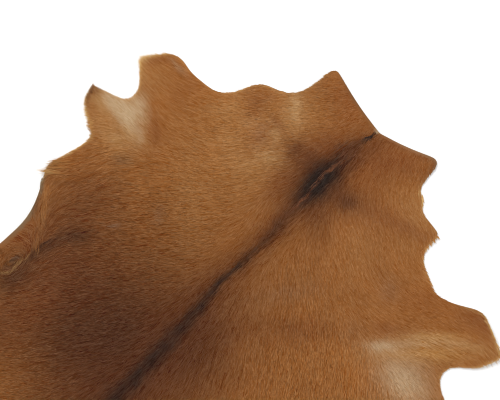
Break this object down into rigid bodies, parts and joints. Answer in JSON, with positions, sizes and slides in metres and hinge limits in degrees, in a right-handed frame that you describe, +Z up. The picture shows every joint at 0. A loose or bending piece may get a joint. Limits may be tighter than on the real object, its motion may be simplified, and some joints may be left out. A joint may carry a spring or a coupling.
{
  "type": "goatskin",
  "caption": "Tanned goatskin with the hair on, lying flat hair side up: uneven cut edge, opened leg ends and a dark stripe along the spine.",
  "frame": {"origin": "centre of the bounding box, on the floor plane the skin lies on", "axes": "+Y along the spine towards the neck, +Z up out of the hair side, +X to the skin's right"},
  "size_m": [0.7572, 0.9282, 0.0163],
  "materials": {
    "coat": "short lying hair, matt to silky"
  },
  "bodies": {
    "root": {"goatskin": "coat"}
  },
  "joints": []
}
